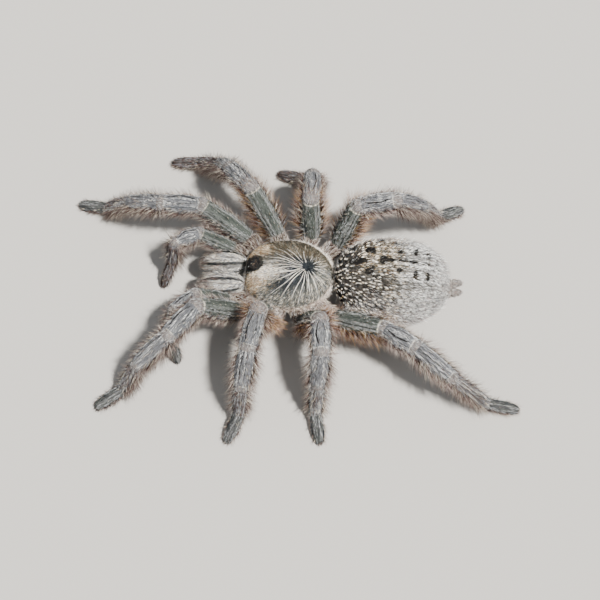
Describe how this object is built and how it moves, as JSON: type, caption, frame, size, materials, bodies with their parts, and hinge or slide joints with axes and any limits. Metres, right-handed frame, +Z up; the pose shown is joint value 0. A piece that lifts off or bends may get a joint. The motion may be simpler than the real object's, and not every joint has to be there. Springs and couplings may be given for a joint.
{
  "type": "tarantula specimen",
  "caption": "Whole dried tarantula standing on its spread legs, with a starburst carapace, mottled abdomen and striped hairy legs.",
  "frame": {"origin": "on the ground under the middle of the specimen's outline", "axes": "+X runs from the head to the spinnerets, +Y to the animal's right side, +Z up from the ground it stands on"},
  "size_m": [0.1106, 0.0762, 0.024],
  "materials": {
    "carapace": "short velvety hair, olive and gold with pale lines",
    "underside": "dark brown velvety hair on the sternum, coxae and stalk",
    "abdomen": "cream and black mottled hair",
    "chelicera": "pale and dark striped hair",
    "fang": "bare polished horn-like shell, nearly black",
    "femur": "grey-green velvety hair with dark stripes",
    "patella": "silver-grey velvety hair with bare dark lines",
    "tibia": "silver-grey hair with long standing setae",
    "metatarsus": "grey-brown hair with long standing setae",
    "tarsus": "dense grey pads of fine hair"
  },
  "bodies": {
    "root": {"carapace": "carapace", "abdomen": "abdomen", "pedicel": "underside", "sternum_and_coxae": "underside", "right_chelicera": "chelicera", "right_fang": "fang", "right_spinneret": "abdomen", "right_leg_1_femur": "femur", "right_leg_1_patella": "patella", "right_leg_1_tibia": "tibia", "right_leg_1_metatarsus": "metatarsus", "right_leg_1_tarsus": "tarsus", "right_leg_2_femur": "femur", "right_leg_2_patella": "patella", "right_leg_2_tibia": "tibia", "right_leg_2_metatarsus": "metatarsus", "right_leg_2_tarsus": "tarsus", "right_leg_3_femur": "femur", "right_leg_3_patella": "patella", "right_leg_3_tibia": "tibia", "right_leg_3_metatarsus": "metatarsus", "right_leg_3_tarsus": "tarsus", "right_leg_4_femur": "femur", "right_leg_4_patella": "patella", "right_leg_4_tibia": "tibia", "right_leg_4_metatarsus": "metatarsus", "right_leg_4_tarsus": "tarsus", "right_palp_femur": "femur", "right_palp_patella": "patella", "right_palp_tibia": "tibia", "right_palp_tarsus": "tarsus", "left_chelicera": "chelicera", "left_fang": "fang", "left_spinneret": "abdomen", "left_leg_1_femur": "femur", "left_leg_1_patella": "patella", "left_leg_1_tibia": "tibia", "left_leg_1_metatarsus": "metatarsus", "left_leg_1_tarsus": "tarsus", "left_leg_2_femur": "femur", "left_leg_2_patella": "patella", "left_leg_2_tibia": "tibia", "left_leg_2_metatarsus": "metatarsus", "left_leg_2_tarsus": "tarsus", "left_leg_3_femur": "femur", "left_leg_3_patella": "patella", "left_leg_3_tibia": "tibia", "left_leg_3_metatarsus": "metatarsus", "left_leg_3_tarsus": "tarsus", "left_leg_4_femur": "femur", "left_leg_4_patella": "patella", "left_leg_4_tibia": "tibia", "left_leg_4_metatarsus": "metatarsus", "left_leg_4_tarsus": "tarsus", "left_palp_femur": "femur", "left_palp_patella": "patella", "left_palp_tibia": "tibia", "left_palp_tarsus": "tarsus"}
  },
  "joints": []
}
